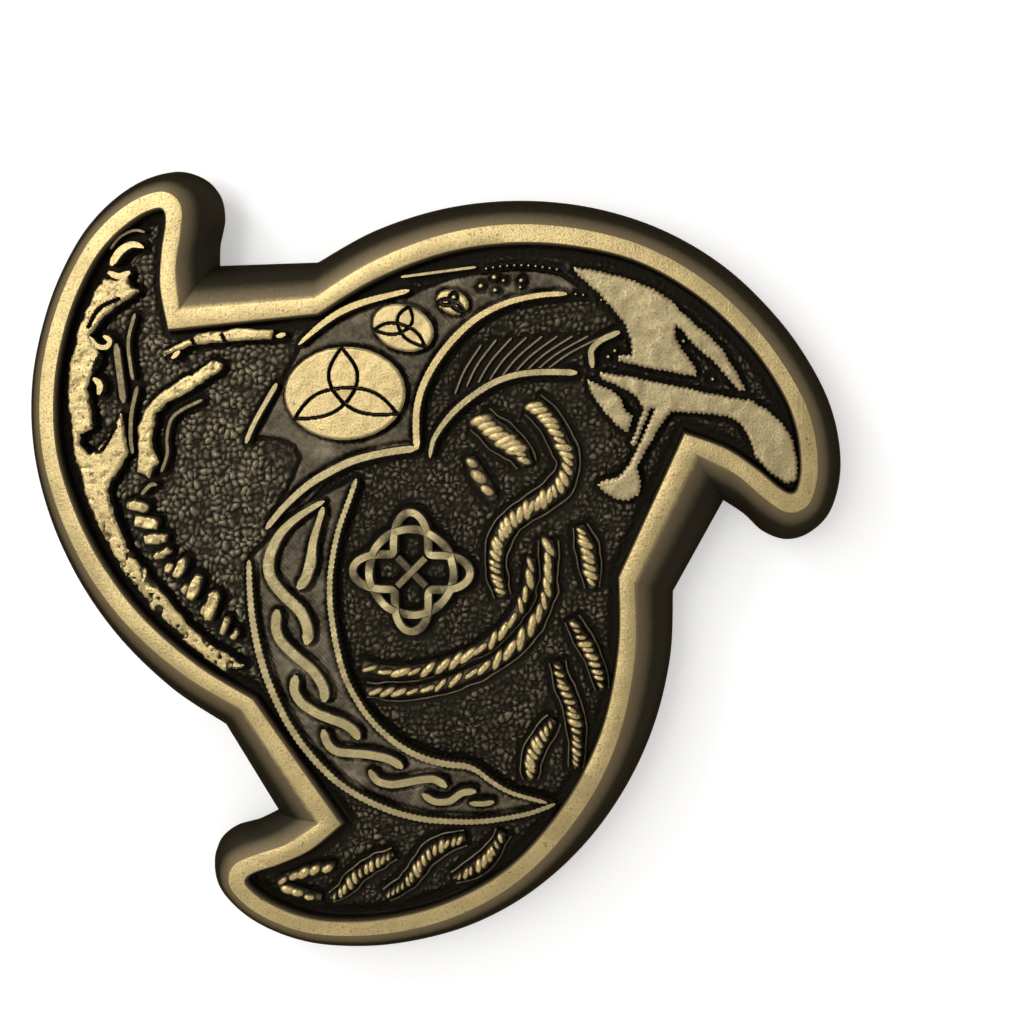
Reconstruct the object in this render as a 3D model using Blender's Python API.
"""Three-armed challenge coin: one struck blank with a raised rim on both faces,
and the relief motifs of each face as separate solids that stand on its recessed fields.

Lengths below are in millimetres in the coin's own plane, with the threefold axis at
the middle. The finished model is in metres, +Z up, lying on its underside, with the
middle of its bounding box's base at the origin.
"""
import math

import bmesh
import bpy
from mathutils import Matrix, Vector

MM = 0.001

# Driving dimensions, in millimetres.
THICKNESS = 4.0
RIM_PLANE = THICKNESS / 2          # height of each rim above the coin's mid-plane
FIELD_DEPTH = 0.8                  # how far each field lies below its rim
RIM_EDGE_SHARE = 0.52              # rim's outer edge, as a share of the way in to its inner
BAY_EDGE_SHARE = 0.64              # edge: on the arms' backs, and along the three bays
FOOT_SHARE = 1.07                  # foot of the rim's inner wall, which slopes inward
SEAT_GAP = 0.05                    # clearance under each motif
PLATE_TOP = 1.88                   # flat polished motifs
LINE_TOP = 1.80                    # thin raised lines
ROPE_TOP = 1.78                    # ropes and strands
LOW_TOP = 1.55                     # low plates
ARC_STEPS = 4                      # straight pieces between two outline points

SEAT = RIM_PLANE - FIELD_DEPTH + SEAT_GAP

BRASS = (0.62, 0.50, 0.24, 1.0)
POLISHED = (0.72, 0.60, 0.32, 1.0)
OLIVE = (0.42, 0.35, 0.18, 1.0)

# One arm, from the sharp inner corner round the arm's tip and down its back to the
# shallow notch: each station is a point of the coin's widest outline with the point of
# the rim's inner edge that faces it. The next corner follows by a third of a turn.
ARM_STATIONS = [
    ((-11.38, 15.96), (-13.80, 12.05)), ((-11.30, 17.40), (-14.25, 14.60)),
    ((-10.98, 18.90), (-14.10, 16.80)), ((-11.27, 20.33), (-13.85, 18.30)),
    ((-12.34, 21.32), (-13.90, 19.05)), ((-14.10, 21.70), (-14.35, 19.25)),
    ((-16.50, 20.95), (-15.60, 18.75)), ((-18.80, 19.20), (-17.30, 17.45)),
    ((-20.60, 16.85), (-18.75, 15.60)), ((-22.24, 13.43), (-20.15, 12.60)),
    ((-23.34, 9.12), (-21.05, 8.80)), ((-23.40, 4.70), (-21.05, 4.75)),
    ((-22.44, 0.36), (-19.95, 0.95)), ((-20.60, -3.70), (-18.15, -2.55)),
    ((-18.03, -7.31), (-15.75, -5.60)), ((-14.80, -10.35), (-12.40, -8.40)),
    ((-11.40, -12.50), (-8.95, -10.40)),
]


def clear_scene():
    """Remove whatever the file starts with."""
    for item in list(bpy.data.objects):
        bpy.data.objects.remove(item, do_unlink=True)


def new_collection(name):
    collection = bpy.data.collections.new(name)
    bpy.context.scene.collection.children.link(collection)
    return collection


def metal(name, colour, roughness):
    """A plain metallic Principled material."""
    material = bpy.data.materials.new(name)
    material.use_nodes = True
    shader = material.node_tree.nodes["Principled BSDF"]
    shader.inputs["Base Color"].default_value = colour
    shader.inputs["Metallic"].default_value = 1.0
    shader.inputs["Roughness"].default_value = roughness
    material.diffuse_color = colour
    return material


def smooth_run(points, steps, closed=False):
    """Points on a Catmull-Rom curve through the given points."""
    count = len(points)
    run = []
    for index in range(count if closed else count - 1):
        if closed:
            near = [points[(index + k) % count] for k in (-1, 0, 1, 2)]
        else:
            near = [points[min(max(index + k, 0), count - 1)] for k in (-1, 0, 1, 2)]
        a, b, c, d = (Vector(p) for p in near)
        for step in range(steps):
            t = step / steps
            run.append(0.5 * (2 * b + (c - a) * t + (2 * a - 5 * b + 4 * c - d) * t ** 2
                              + (3 * b - 3 * c + d - a) * t ** 3))
    if not closed:
        run.append(Vector(points[-1]))
    return run


def turned(points, angle):
    turn = Matrix.Rotation(angle, 2)
    return [turn @ point for point in points]


def coin_outlines():
    """The widest outline, the rim's inner edge, and how much of each point is in a bay."""
    loops = []
    for side in (0, 1):
        arm = smooth_run([station[side] for station in ARM_STATIONS], ARC_STEPS)
        corner = turned(arm[:1], math.radians(120))[0]
        sector = arm + [arm[-1].lerp(corner, step / ARC_STEPS) for step in range(1, ARC_STEPS)]
        loops.append([point for third in range(3)
                      for point in turned(sector, math.radians(120 * third))])
    reach = 3 * ARC_STEPS
    bay = []
    for index in range(len(arm)):
        from_end = min(index, len(arm) - 1 - index)
        bay.append(max(0.0, 1 - from_end / reach))
    bay += [1.0] * (ARC_STEPS - 1)
    return loops[0], loops[1], bay * 3


def outline_centre(outline):
    xs = [point.x for point in outline]
    ys = [point.y for point in outline]
    return Vector(((min(xs) + max(xs)) / 2, (min(ys) + max(ys)) / 2))


def coin_blank(collection, material, centre):
    """The struck blank, lofted through rings from one field round the edge to the other."""
    girth, inner, bay = coin_outlines()
    edge = [RIM_EDGE_SHARE + (BAY_EDGE_SHARE - RIM_EDGE_SHARE) * weight for weight in bay]
    whole = [1.0] * len(girth)
    field = RIM_PLANE - FIELD_DEPTH
    half = [([FOOT_SHARE] * len(girth), field), (whole, RIM_PLANE), (edge, RIM_PLANE)]
    for angle in (60, 35, 15):
        shrink = 1 - math.cos(math.radians(angle))
        half.append(([share * shrink for share in edge],
                     RIM_PLANE * math.sin(math.radians(angle))))
    middle = [([0.0] * len(girth), 0.0)]
    levels = half + middle + [(shares, -height) for shares, height in reversed(half)]
    mesh = bpy.data.meshes.new("coin_blank")
    work = bmesh.new()
    rings = []
    for shares, height in levels:
        ring = [a.lerp(b, share) for a, b, share in zip(girth, inner, shares)]
        rings.append([work.verts.new((p.x * MM, p.y * MM, height * MM)) for p in ring])
    count = len(girth)
    for upper, lower in zip(rings, rings[1:]):
        for index in range(count):
            after = (index + 1) % count
            work.faces.new((upper[index], lower[index], lower[after], upper[after]))
    work.faces.new(rings[0])
    work.faces.new(list(reversed(rings[-1])))
    bmesh.ops.recalc_face_normals(work, faces=work.faces)
    bmesh.ops.triangulate(work, faces=[face for face in work.faces if len(face.verts) > 4])
    work.to_mesh(mesh)
    work.free()
    blank = bpy.data.objects.new("coin_blank", mesh)
    blank.location = (-centre.x * MM, -centre.y * MM, RIM_PLANE * MM)
    mesh.materials.append(material)
    mesh.shade_smooth()
    mesh.set_sharp_from_angle(angle=math.radians(28))
    collection.objects.link(blank)
    return blank


class Face:
    """One side of the coin: an empty on the threefold axis whose +Z leaves that side."""

    def __init__(self, name, collection, centre, flipped, section):
        self.collection = collection
        self.section = section
        self.frame = bpy.data.objects.new(name, None)
        self.frame.location = (-centre.x * MM, -centre.y * MM, RIM_PLANE * MM)
        self.frame.rotation_euler = (0, math.pi if flipped else 0, 0)
        collection.objects.link(self.frame)


def add_to_face(item, face, material, height):
    """Hang a finished motif on its face at a height above the mid-plane."""
    item.parent = face.frame
    item.location.z = height * MM
    item.data.materials.append(material)
    face.collection.objects.link(item)


def plate(name, face, outline, top, material, base=SEAT, holes=()):
    """A flat motif: a filled outline, extruded up from its seat."""
    curve = bpy.data.curves.new(name, "CURVE")
    curve.dimensions = "2D"
    curve.fill_mode = "BOTH"
    curve.extrude = (top - base) * MM / 2
    for loop in (outline, *holes):
        spline = curve.splines.new("POLY")
        spline.points.add(len(loop) - 1)
        for slot, point in zip(spline.points, loop):
            slot.co = (point[0] * MM, point[1] * MM, 0, 1)
        spline.use_cyclic_u = True
    add_to_face(bpy.data.objects.new(name, curve), face, material, (top + base) / 2)


def half_round_section(collection):
    """The shared section of every strand: a half disc one millimetre wide."""
    curve = bpy.data.curves.new("half_round_section", "CURVE")
    curve.dimensions = "2D"
    spline = curve.splines.new("POLY")
    corners = 5
    spline.points.add(corners - 1)
    for index, slot in enumerate(spline.points):
        angle = math.pi * (1 - index / (corners - 1))
        slot.co = (0.5 * MM * math.cos(angle), 0.5 * MM * math.sin(angle), 0, 1)
    spline.use_cyclic_u = True
    section = bpy.data.objects.new("half_round_section", curve)
    section.hide_render = True
    section.display_type = "WIRE"
    collection.objects.link(section)
    return section


def strand(name, face, path, widths, top, material, base=SEAT, steps=2):
    """A raised line or rope: the half-round section swept along a smooth path."""
    curve = bpy.data.curves.new(name, "CURVE")
    curve.dimensions = "3D"
    curve.twist_mode = "Z_UP"
    curve.bevel_mode = "OBJECT"
    curve.bevel_object = face.section
    curve.use_fill_caps = True
    run = smooth_run(path, steps)
    spline = curve.splines.new("POLY")
    spline.points.add(len(run) - 1)
    for index, (slot, point) in enumerate(zip(spline.points, run)):
        place = index / (len(run) - 1) * (len(widths) - 1)
        low = min(int(place), len(widths) - 2)
        width = widths[low] + (widths[low + 1] - widths[low]) * (place - low)
        slot.co = (point.x * MM, point.y * MM, 0, 1)
        slot.radius = width
    item = bpy.data.objects.new(name, curve)
    item.scale.z = (top - base) / (0.5 * max(widths))
    add_to_face(item, face, material, base)


def dome(name, face, centre, half_width, half_height, turn, top, material):
    """A low oval dome: a sphere cut at its seat, flattened and turned in the plane."""
    mesh = bpy.data.meshes.new(name)
    work = bmesh.new()
    bmesh.ops.create_uvsphere(work, u_segments=20, v_segments=10, radius=1.0)
    everything = work.verts[:] + work.edges[:] + work.faces[:]
    bmesh.ops.bisect_plane(work, geom=everything, plane_co=(0, 0, 0), plane_no=(0, 0, 1),
                           clear_inner=True)
    bmesh.ops.contextual_create(work, geom=[edge for edge in work.edges if edge.is_boundary])
    bmesh.ops.scale(work, vec=Vector((half_width, half_height, top - SEAT)) * MM, verts=work.verts)
    bmesh.ops.recalc_face_normals(work, faces=work.faces)
    work.to_mesh(mesh)
    work.free()
    mesh.shade_smooth()
    mesh.set_sharp_from_angle(angle=math.radians(40))
    item = bpy.data.objects.new(name, mesh)
    item.location = (centre[0] * MM, centre[1] * MM, 0)
    item.rotation_euler.z = turn
    add_to_face(item, face, material, SEAT)


def ellipse(centre, half_width, half_height, turn=0.0, count=28):
    """Points of a turned ellipse."""
    points = []
    for index in range(count):
        angle = math.tau * index / count
        x = half_width * math.cos(angle)
        y = half_height * math.sin(angle)
        points.append((centre[0] + x * math.cos(turn) - y * math.sin(turn),
                       centre[1] + x * math.sin(turn) + y * math.cos(turn)))
    return points


def compass_star(centre, reach, waist):
    """Four long points with four notches between them."""
    points = []
    for index in range(8):
        angle = math.tau * index / 8
        radius = reach if index % 2 == 0 else waist
        points.append((centre[0] + radius * math.cos(angle), centre[1] + radius * math.sin(angle)))
    return points


def blend(first, second, share):
    """The path a given share of the way from one path to another."""
    return [tuple(Vector(a).lerp(Vector(b), share)) for a, b in zip(first, second)]


def beast_arm(face, polished, brass):
    """The serpent-like beast that follows the rim of the first arm."""
    plate("beast_band", face, [
        (-15.7, 14.3), (-16.9, 13.5), (-17.9, 12.9), (-18.5, 12.2), (-18.85, 11.5),
        (-18.5, 11.0), (-18.2, 10.3), (-18.8, 9.4), (-19.1, 8.5), (-19.0, 7.2),
        (-18.8, 6.0), (-19.6, 5.75), (-19.65, 5.1), (-19.1, 4.5), (-18.5, 4.8),
        (-17.6, 5.8), (-17.0, 7.0), (-16.75, 5.8), (-16.65, 4.7), (-17.2, 3.6),
        (-17.9, 2.7), (-17.8, 1.5), (-17.5, 0.3), (-16.8, -1.2), (-15.7, -2.8),
        (-14.4, -4.4), (-13.0, -5.9), (-11.6, -7.2), (-10.2, -7.9), (-9.5, -8.4),
        (-10.7, -8.8), (-12.0, -8.0), (-13.6, -6.5), (-15.2, -5.0), (-16.9, -2.9),
        (-18.2, -0.8), (-19.2, 1.3), (-19.9, 3.8), (-20.2, 6.0), (-20.3, 8.5),
        (-20.0, 10.6), (-19.4, 12.5), (-18.6, 14.0), (-17.9, 15.1), (-17.0, 15.0),
        (-16.3, 15.3), (-16.4, 14.8),
    ], PLATE_TOP, polished)
    plate("beast_tongue", face, [
        (-10.6, 10.0), (-11.1, 10.15), (-12.2, 9.5), (-13.5, 8.85), (-14.6, 8.1),
        (-15.4, 7.2), (-15.95, 6.1), (-15.95, 4.9), (-16.1, 3.4), (-15.4, 3.1),
        (-14.7, 4.0), (-15.0, 4.8), (-15.0, 5.9), (-14.8, 6.9), (-14.0, 7.6),
        (-12.5, 8.4), (-11.3, 9.2), (-10.6, 9.6),
    ], PLATE_TOP, polished)
    plate("bay_bar", face, [
        (-12.3, 11.15), (-7.5, 11.45), (-7.35, 12.0), (-9.6, 12.1), (-12.0, 11.75),
        (-14.3, 10.7), (-14.2, 10.45),
    ], PLATE_TOP, polished)
    strand("beast_crest", face, [(-17.4, 15.9), (-16.8, 16.75), (-16.0, 17.15), (-15.3, 16.95)],
           [0.45, 0.5, 0.4, 0.25], LINE_TOP, polished)
    strand("belly_scales", face, [
        (-16.2, 1.2), (-15.2, -0.4), (-14.3, -2.0), (-13.2, -3.3), (-12.2, -4.6),
        (-11.2, -5.7), (-10.3, -6.2),
    ], [1.2, 1.2, 0.9, 1.1, 1.1, 1.0, 0.5], ROPE_TOP, brass)


def horn_panel(face, polished, brass):
    """Medallions of the drinking horn, and the raised lines that frame its panel."""
    plate("medallion_large", face, ellipse((-3.0, 8.2), 3.72, 2.78, math.radians(3)),
          PLATE_TOP, polished)
    plate("medallion_medium", face, ellipse((0.6, 12.1), 1.9, 1.35, math.radians(-18), 20),
          PLATE_TOP, polished)
    plate("medallion_small", face, ellipse((3.6, 13.6), 1.0, 0.7, math.radians(-20), 14),
          PLATE_TOP, polished)
    strand("panel_line_upper", face, [
        (-5.8, 11.1), (-4.7, 12.05), (-3.4, 12.95), (-2.0, 13.55), (-0.5, 13.95), (1.0, 14.3),
    ], [0.2, 0.4, 0.45, 0.4, 0.3], LINE_TOP, polished)
    strand("panel_line_inner", face, [
        (1.35, 5.35), (1.35, 7.0), (1.7, 8.5), (2.5, 10.0), (3.6, 11.4), (5.1, 12.7),
        (7.0, 13.6), (9.0, 14.0), (10.4, 14.05),
    ], [0.45, 0.45, 0.3], LINE_TOP, polished)
    strand("feather_line", face, [
        (2.15, 4.4), (2.4, 5.5), (3.3, 6.8), (4.5, 7.9), (6.0, 8.85), (7.5, 9.35),
        (9.2, 9.5), (11.0, 9.45),
    ], [0.25, 0.4, 0.4, 0.4], LINE_TOP, brass)


def claw_arm(face, polished):
    """The flat claw shapes of the second arm, and the axe that hangs from them."""
    plate("claw_upper", face, [
        (10.8, 15.6), (12.5, 15.3), (14.0, 14.9), (15.5, 14.3), (16.5, 13.6), (17.6, 12.5),
        (18.8, 11.5), (19.6, 10.6), (20.3, 9.5), (20.8, 8.5), (20.4, 8.45), (19.7, 9.3),
        (18.9, 10.2), (18.1, 10.8), (17.5, 11.4), (17.2, 11.9), (16.75, 12.25), (16.7, 11.6),
        (17.0, 11.0), (17.5, 10.3), (17.9, 9.75), (17.95, 9.25), (15.5, 9.7), (13.4, 10.15),
        (13.5, 10.45), (14.2, 10.5), (14.15, 11.3), (13.9, 12.2), (13.4, 12.8), (12.9, 13.4),
        (12.3, 14.1), (11.6, 14.7), (11.0, 15.2),
    ], PLATE_TOP, polished)
    plate("axe_and_bar", face, [
        (12.3, 9.5), (14.0, 9.25), (16.0, 8.85), (18.0, 8.4), (20.0, 8.0), (21.0, 7.9),
        (22.0, 7.4), (23.0, 6.5), (23.6, 5.4), (23.85, 4.3), (23.8, 3.2), (23.2, 3.1),
        (22.3, 3.6), (21.4, 4.6), (21.1, 5.6), (20.6, 6.5), (19.8, 6.95), (18.5, 7.1),
        (16.5, 7.2), (15.7, 6.1), (14.5, 4.0), (14.75, 3.0), (14.6, 2.3), (14.0, 2.0),
        (13.3, 2.05), (12.6, 2.4), (12.2, 2.9), (12.6, 3.1), (13.3, 3.3), (13.75, 3.7),
        (14.1, 4.2), (15.0, 6.0), (15.6, 7.4), (15.3, 7.4), (14.45, 5.2), (14.15, 5.25),
        (14.9, 7.4), (14.6, 7.9), (14.0, 8.4), (13.2, 8.8), (12.4, 9.15),
    ], PLATE_TOP, polished)
    plate("claw_lower", face, [
        (11.55, 9.05), (11.8, 8.3), (12.5, 7.35), (13.3, 6.4), (13.95, 5.95), (14.3, 6.9),
        (13.75, 7.4), (13.6, 8.0), (13.0, 8.4), (12.2, 8.8),
    ], PLATE_TOP, polished)


def crescent(face, brass):
    """The crescent with its three outlines and the braid that fills it."""
    strand("crescent_line_top", face, [
        (-8.0, 0.0), (-7.0, 1.2), (-5.6, 2.5), (-4.2, 3.4), (-2.5, 4.2), (-0.5, 4.7), (0.9, 4.9),
    ], [0.35, 0.5, 0.45], LINE_TOP, brass)
    strand("crescent_line_outer", face, [
        (-9.1, -1.9), (-9.1, -3.2), (-9.0, -5.0), (-8.7, -7.0), (-8.15, -9.0), (-7.3, -11.0),
        (-6.1, -13.0), (-4.5, -14.8), (-3.0, -15.95), (-1.0, -16.9), (1.0, -17.45),
        (3.0, -17.6), (5.4, -17.5), (8.0, -16.95), (9.6, -16.3),
    ], [0.4, 0.55, 0.5, 0.45, 0.3], LINE_TOP, brass)
    strand("crescent_line_inner", face, [
        (-2.35, 3.1), (-2.9, 1.6), (-3.5, 0.0), (-3.95, -2.0), (-4.1, -4.0), (-3.95, -5.7),
        (-3.65, -7.4), (-3.2, -9.0), (-2.4, -10.5), (-1.4, -11.8), (0.0, -13.0),
        (1.5, -13.75), (3.0, -14.1), (4.4, -14.2), (5.0, -14.55), (6.0, -15.25),
        (7.0, -15.75), (8.4, -16.1),
    ], [0.35, 0.45, 0.45, 0.3], LINE_TOP, brass)
    strand("braid_loop_left", face, [
        (-4.35, 1.75), (-5.8, 0.9), (-7.1, -0.25), (-7.85, -1.8), (-7.75, -3.0),
        (-6.9, -4.1), (-5.95, -5.0), (-5.5, -6.1), (-5.6, -7.0),
    ], [0.3, 0.65, 0.65, 0.65], LINE_TOP, brass)
    strand("braid_loop_right", face, [
        (-4.75, 0.35), (-5.1, -0.8), (-5.25, -1.9), (-5.6, -3.0), (-6.1, -3.6),
    ], [0.4, 0.65, 0.6], LINE_TOP, brass)
    links = [
        ([(-7.35, -4.9), (-7.5, -6.0), (-7.15, -6.9), (-6.2, -7.8), (-5.2, -8.65),
          (-4.55, -9.7), (-4.55, -10.5)], 0.62),
        ([(-6.25, -8.9), (-6.4, -9.8), (-5.9, -10.65), (-4.8, -11.3), (-3.5, -11.75),
          (-2.75, -12.2), (-2.4, -12.75)], 0.6),
        ([(-4.6, -12.2), (-4.4, -13.0), (-3.7, -13.55), (-2.0, -13.65), (-0.6, -13.9),
          (0.3, -14.4)], 0.55),
        ([(-1.75, -14.6), (-1.3, -15.25), (-0.3, -15.45), (1.0, -15.2), (2.2, -15.05),
          (3.0, -15.5)], 0.5),
        ([(1.5, -15.95), (2.2, -16.4), (3.2, -16.35), (3.9, -15.85), (4.8, -15.7)], 0.45),
    ]
    for number, (path, width) in enumerate(links, start=1):
        strand(f"braid_link_{number}", face, path, [width, width], LINE_TOP, brass)


def ropes(face, brass):
    """The coiled rope at the middle, its loose strands and the tail in the third arm."""
    strand("rope_coil_outer", face, [
        (8.3, 7.55), (9.2, 6.7), (10.0, 5.3), (10.4, 4.2), (10.1, 3.1), (9.4, 2.3),
        (8.3, 1.55), (7.2, 0.8), (6.5, 0.0), (6.1, -1.0), (6.0, -2.0), (6.15, -3.0), (6.4, -3.9),
    ], [0.9, 0.85, 0.9, 0.8, 0.6], ROPE_TOP, brass)
    strand("rope_coil_inner", face, [
        (5.1, 6.7), (5.9, 6.0), (6.8, 5.3), (7.5, 4.7), (7.9, 4.0),
    ], [1.0, 1.3, 1.0, 0.6], ROPE_TOP, brass)
    strand("rope_sweep_lower", face, [
        (9.2, -0.5), (9.2, -2.0), (9.15, -3.2), (8.85, -4.4), (8.2, -5.6), (7.2, -6.8),
        (6.0, -7.8), (4.5, -8.6), (3.0, -9.2), (1.5, -9.65), (0.0, -9.85), (-2.0, -9.8),
    ], [0.5, 0.65, 0.65, 0.4], ROPE_TOP, brass)
    strand("rope_sweep_upper", face, [
        (8.15, -1.6), (8.1, -2.8), (7.75, -3.9), (7.2, -5.05), (6.3, -6.15), (5.2, -7.0),
        (4.0, -7.65), (2.7, -8.2), (1.0, -8.55), (-0.8, -8.6), (-2.2, -8.3),
    ], [0.5, 0.6, 0.6, 0.6], ROPE_TOP, brass)
    strands = [
        ("rope_strand_1", [(11.1, 0.4), (11.5, -0.9), (11.7, -2.2), (11.8, -3.3)], 0.85),
        ("rope_strand_2", [(10.6, -5.2), (11.2, -6.3), (11.8, -7.4), (12.2, -8.5),
                           (12.4, -9.4)], 0.6),
        ("rope_strand_3", [(9.7, -7.8), (10.0, -9.0), (10.5, -10.2), (10.8, -11.5),
                           (10.9, -12.8), (10.8, -14.2)], 0.65),
        ("rope_strand_4", [(9.5, -11.3), (8.9, -12.2), (8.3, -13.2), (8.05, -14.2),
                           (8.05, -15.0)], 0.75),
        ("tail_strand_1", [(6.4, -18.3), (5.9, -19.2), (5.3, -20.0), (4.4, -20.7),
                           (3.3, -21.25)], 0.65),
        ("tail_strand_2", [(4.05, -18.75), (2.9, -19.1), (1.8, -19.8), (1.05, -20.8),
                           (0.3, -21.7), (-0.9, -22.5)], 0.65),
        ("tail_strand_3", [(-0.4, -19.9), (-1.7, -20.6), (-2.8, -21.4), (-3.6, -22.3),
                           (-4.4, -22.8)], 0.5),
    ]
    for name, path, width in strands:
        strand(name, face, path, [0.5 * width, width, width, 0.4 * width], ROPE_TOP, brass)
    plate("tail_tip", face, [
        (-4.1, -20.7), (-5.8, -21.0), (-7.9, -21.95), (-6.3, -22.75), (-5.0, -22.95),
        (-4.9, -22.7), (-6.2, -22.35), (-7.0, -21.95), (-5.7, -21.4), (-4.2, -21.0),
    ], ROPE_TOP, brass)


def horns_and_hair(face, brass, olive):
    """The two horns, and the locks that fall from under the curled one."""
    strand("horn_curled", face, [
        (-12.8, 14.1), (-11.0, 14.4), (-8.0, 14.55), (-5.0, 14.1), (-2.0, 13.15), (0.5, 11.8),
        (2.5, 10.0), (3.8, 8.0), (4.35, 6.0), (4.1, 4.0), (3.0, 2.1), (1.4, 1.05),
        (-0.5, 0.9), (-1.7, 1.0), (-2.6, 1.1),
    ], [0.4, 0.9, 1.1, 1.2, 1.3, 1.5, 1.8, 2.1, 2.4, 2.7, 3.1, 3.7, 3.9, 3.6, 2.4],
        PLATE_TOP, brass)
    strand("horn_long", face, [
        (15.85, 17.5), (16.9, 15.9), (18.1, 13.5), (18.85, 11.0), (19.0, 8.5), (18.7, 6.0),
        (18.0, 3.5), (16.9, 1.0),
    ], [0.3, 0.8, 1.3, 1.7, 1.9, 2.0, 2.0, 1.4], PLATE_TOP, brass)
    crown = [(-3.2, 10.7), (-6.0, 11.25), (-9.0, 11.0), (-12.0, 9.6), (-14.2, 7.6),
             (-15.1, 5.3), (-15.1, 3.0), (-14.3, 0.6), (-13.1, -1.4), (-12.3, -2.6)]
    temple = [(1.3, 3.95), (0.3, 4.5), (-1.3, 4.3), (-2.9, 3.2), (-3.8, 1.8), (-4.2, 0.4),
              (-4.35, -1.0), (-4.35, -2.5), (-4.5, -3.8), (-4.9, -5.2)]
    locks = 7
    for index in range(locks):
        strand(f"hair_lock_{index + 1}", face, blend(crown, temple, (index + 0.5) / locks),
               [0.65, 0.8, 1.1, 1.3, 1.3, 1.2, 1.0, 0.7], ROPE_TOP, olive)
    strand("hair_front_lock", face, [
        (-3.55, -2.6), (-3.2, -4.5), (-2.85, -6.2), (-2.65, -8.0), (-2.7, -9.4),
    ], [0.4, 0.8, 0.8, 0.5], ROPE_TOP, olive)


def collar(face, brass, olive):
    """The collar plate with the ring and the garland that lie on it."""
    plate("collar_plate", face, [
        (-12.6, -4.2), (-11.0, -3.25), (-8.0, -4.65), (-6.2, -5.4), (-5.8, -5.9),
        (-4.2, -8.2), (-3.3, -10.1), (-3.6, -11.0), (-4.5, -12.6), (-5.5, -14.5),
        (-6.5, -16.1), (-8.2, -15.7), (-10.0, -14.8), (-11.5, -13.0), (-12.4, -10.5),
        (-12.7, -8.0), (-12.8, -5.5),
    ], LOW_TOP, olive)
    seat = LOW_TOP + SEAT_GAP
    plate("collar_ring", face, ellipse((-8.0, -7.9), 2.55, 2.55), PLATE_TOP, brass, base=seat,
          holes=[ellipse((-8.0, -7.9), 2.1, 2.1)])
    strand("collar_garland", face, [
        (-11.5, -5.2), (-11.45, -7.5), (-11.1, -9.5), (-10.4, -11.7), (-9.5, -13.3),
        (-8.3, -13.9), (-7.3, -13.4), (-6.3, -12.3), (-5.4, -11.1),
    ], [0.8, 0.8], PLATE_TOP, brass, base=seat)


def bearded_head(face, brass, olive):
    """The bowed head between horn and beard, its band and the plaited beard."""
    dome("head", face, (2.6, -7.2), 4.1, 5.0, math.radians(-27), PLATE_TOP, olive)
    plate("headband", face, [
        (2.75, -1.05), (3.6, -0.25), (5.2, -0.8), (7.2, -1.7), (9.5, -2.65), (9.1, -4.6),
        (7.6, -4.1), (5.6, -3.0), (3.9, -1.9),
    ], LINE_TOP, brass)
    beard_left = [(-3.3, -13.2), (-3.5, -15.0), (-3.3, -17.0), (-2.6, -19.0), (-1.7, -20.5),
                  (-0.6, -21.9)]
    beard_right = [(0.5, -13.3), (0.95, -15.0), (1.8, -16.9), (3.2, -18.8), (5.0, -20.2),
                   (7.6, -21.4)]
    locks = 4
    for index in range(locks):
        strand(f"beard_lock_{index + 1}", face,
               blend(beard_left, beard_right, (index + 0.5) / locks),
               [0.75, 0.9, 1.1, 0.6], ROPE_TOP, olive)


def main():
    clear_scene()
    parts = new_collection("challenge_coin")
    guides = new_collection("guides")
    centre = outline_centre(coin_outlines()[0])
    brass = metal("antique_brass", BRASS, 0.38)
    polished = metal("polished_brass", POLISHED, 0.28)
    olive = metal("olive_brass", OLIVE, 0.45)
    section = half_round_section(guides)
    coin_blank(parts, brass, centre)
    top = Face("top_face", parts, centre, False, section)
    beast_arm(top, polished, brass)
    horn_panel(top, polished, brass)
    claw_arm(top, polished)
    crescent(top, brass)
    ropes(top, brass)
    plate("top_emblem", top, compass_star((0.9, -2.5), 3.9, 1.6), LOW_TOP, brass,
          holes=[ellipse((0.9, -2.5), 0.7, 0.7, 0.0, 4)])
    underside = Face("underside", parts, centre, True, section)
    horns_and_hair(underside, brass, olive)
    collar(underside, brass, olive)
    bearded_head(underside, brass, olive)
    plate("underside_emblem", underside, compass_star((10.7, 4.7), 4.5, 1.9), LOW_TOP, brass,
          holes=[ellipse((10.7, 4.7), 0.8, 0.8, 0.0, 4)])


main()
